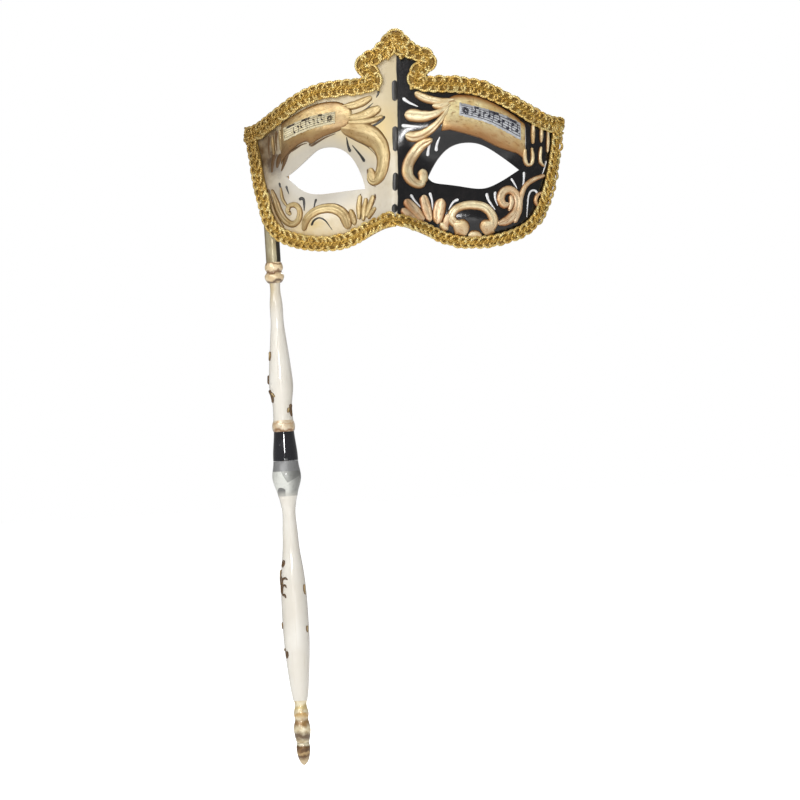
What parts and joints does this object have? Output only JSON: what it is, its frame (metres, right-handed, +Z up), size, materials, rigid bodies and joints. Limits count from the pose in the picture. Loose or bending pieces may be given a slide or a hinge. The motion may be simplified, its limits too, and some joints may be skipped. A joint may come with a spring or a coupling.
{
  "type": "venetian masquerade mask on a stick",
  "caption": "Half face masquerade mask with crown peak, raised gilt scrolls and looped gold braid, held on a turned two-part stick that unscrews and lifts out of a socket behind the mask.",
  "frame": {"origin": "grip point on the axis of the lower spindle, where the hand holds the stick", "axes": "+Z up along the stick, the mask's face looks along -Y, the mask lies on the +X side of the stick"},
  "size_m": [0.1804, 0.065, 0.407],
  "materials": {
    "papier_mache": "papier mache, one half ivory and one half gloss black lacquer",
    "gilt_relief": "gold paint over raised paste, rubbed with brown",
    "gold_braid": "looped metallic gimp braid",
    "printed_paper": "aged paper with printed staves",
    "pine": "bare sanded pine",
    "gilt_wood": "turned wood, antique gold paint",
    "ivory_lacquer": "turned wood, ivory lacquer with painted scrolls",
    "black_lacquer": "turned wood, gloss black lacquer",
    "silver_leaf": "turned wood, patched silver leaf",
    "brass": "brushed brass"
  },
  "bodies": {
    "lower_stick": {"finial_drop": "gilt_wood", "finial_cup": "gilt_wood", "lower_spindle": "ivory_lacquer", "silver_knop": "silver_leaf"},
    "upper_stick": {"threaded_stud": "brass", "black_barrel": "black_lacquer", "lower_collar": "gilt_wood", "upper_spindle": "ivory_lacquer", "upper_collar": "gilt_wood", "top_rod": "gilt_wood"},
    "mask": {"braid_brow_left": "gold_braid", "braid_brow_right": "gold_braid", "braid_crown": "gold_braid", "braid_lower_left": "gold_braid", "braid_lower_right": "gold_braid", "brow_leaves_left": "gilt_relief", "brow_leaves_right": "gilt_relief", "brow_plate_left": "gilt_relief", "brow_plate_right": "gilt_relief", "cheek_arch_left": "gilt_relief", "cheek_arch_right": "gilt_relief", "cheek_curl_left": "gilt_relief", "cheek_curl_right": "gilt_relief", "fan_leaves_left": "gilt_relief", "fan_leaves_right": "gilt_relief", "mask_shell": "papier_mache", "music_strip_left": "printed_paper", "music_strip_right": "printed_paper", "nose_scroll_left": "gilt_relief", "nose_scroll_right": "gilt_relief", "socket_saddle": "pine", "socket_strap": "brass", "socket_tube": "brass", "strap_pins": "brass"}
  },
  "joints": [
    {"name": "stick_unscrew", "type": "hinge", "parent": "lower_stick", "child": "upper_stick", "pos_m": [0, 0, 0.0998], "axis": [0, 0, 1], "continuous": true},
    {"name": "mask_pull", "type": "slide", "parent": "upper_stick", "child": "mask", "axis": [0, 0, 1], "range_m": [0, 0.033]}
  ]
}
